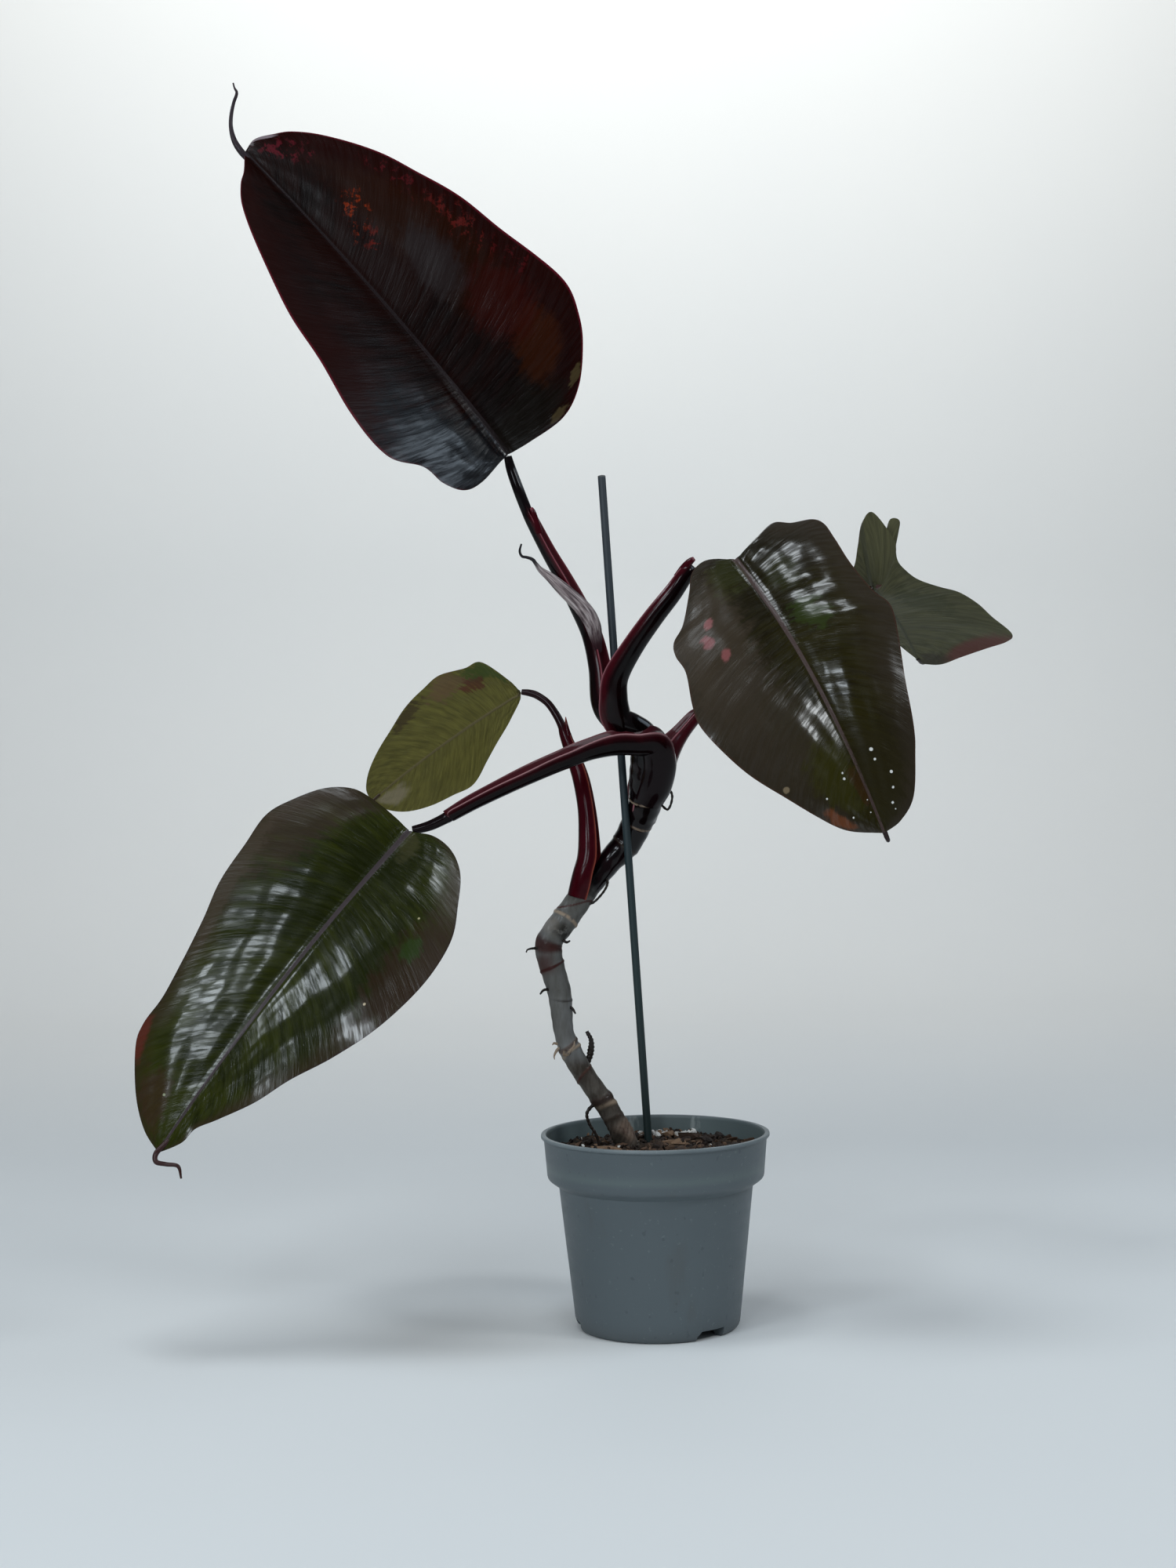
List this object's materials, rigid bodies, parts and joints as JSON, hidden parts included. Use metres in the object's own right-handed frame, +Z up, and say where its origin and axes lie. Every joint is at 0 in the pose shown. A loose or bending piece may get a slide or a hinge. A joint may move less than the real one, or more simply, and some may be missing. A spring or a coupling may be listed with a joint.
{
  "type": "potted climbing philodendron",
  "caption": "Potted climbing philodendron with large dark red heart-shaped leaves on long petioles, a bare S-shaped stem, a thin support stick and a round tapered nursery pot.",
  "frame": {"origin": "middle of the pot's foot, on the surface that the pot stands on", "axes": "+Z up, +X to the plant's right as seen from the front, -Y to the front"},
  "size_m": [0.5176, 0.276, 0.7082],
  "materials": {
    "pot": "satin",
    "potting_mix": "rough",
    "stake": "satin",
    "stem": "rough",
    "petiole": "glossy",
    "leaf": "glossy",
    "leaf_underside": "satin",
    "withered_sheath": "matte"
  },
  "bodies": {
    "root": {"pot": "pot", "soil": "potting_mix", "stake": "stake", "stem": "stem", "petiole_small_left": "petiole", "petiole_lower_left": "petiole", "petiole_back_right": "petiole", "petiole_right": "petiole", "petiole_top_left": "petiole", "leaf_top_left": "leaf", "leaf_lower_left": "leaf", "leaf_right": "leaf", "leaf_small_left": "leaf_underside", "leaf_back_right": "leaf_underside", "withered_new_leaf": "withered_sheath"}
  },
  "joints": []
}
